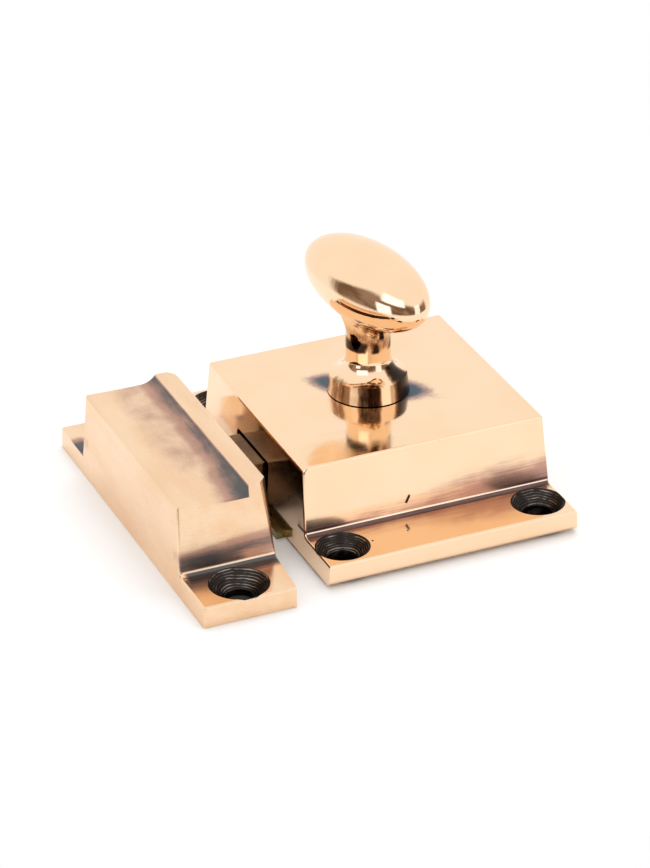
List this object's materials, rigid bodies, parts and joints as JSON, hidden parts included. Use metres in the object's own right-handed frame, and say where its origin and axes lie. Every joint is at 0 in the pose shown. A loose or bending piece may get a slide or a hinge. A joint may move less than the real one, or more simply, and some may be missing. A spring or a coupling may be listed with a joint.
{
  "type": "cupboard catch latch",
  "caption": "Surface-mounted cast cupboard catch with an egg-shaped turn knob, a spring bolt and a separate keep with a raised lip.",
  "frame": {"origin": "on the door face under the middle of the case, where the back plate rests", "axes": "+Z stands out from the door, the bolt shoots towards -X, and the screw flanges lie along Y"},
  "size_m": [0.064, 0.0639, 0.0406],
  "materials": {
    "polished_bronze": "polished, with brown patina in the recesses",
    "satin_bronze": "satin, with dark patina in the recesses",
    "plated_steel": "yellow passivated plating",
    "steel": "turned",
    "spring_steel": "drawn wire"
  },
  "bodies": {
    "case_body": {"case": "polished_bronze", "back_plate": "plated_steel", "plate_screws": "steel", "keep": "satin_bronze", "bolt_spring": "spring_steel"},
    "knob_body": {"knob": "polished_bronze", "cam": "steel", "cam_washer": "steel", "cam_screw": "steel"},
    "bolt_body": {"bolt": "satin_bronze"}
  },
  "joints": [
    {"name": "knob_turn", "type": "hinge", "parent": "case_body", "child": "knob_body", "pos_m": [-0.0007, 0.00045, 0.0153], "axis": [0, 0, 1], "range_deg": [0, 72], "stiffness_Nm_per_rad": 0.0165, "springref_deg": -76.78},
    {"name": "bolt_slide", "type": "slide", "parent": "case_body", "child": "bolt_body", "axis": [1, 0, 0], "range_m": [0, 0.0075], "deforming": ["bolt_spring"]}
  ],
  "couplings": [
    {"joint": "knob_turn", "follows": "bolt_slide", "rad_per_m": 167.55}
  ]
}
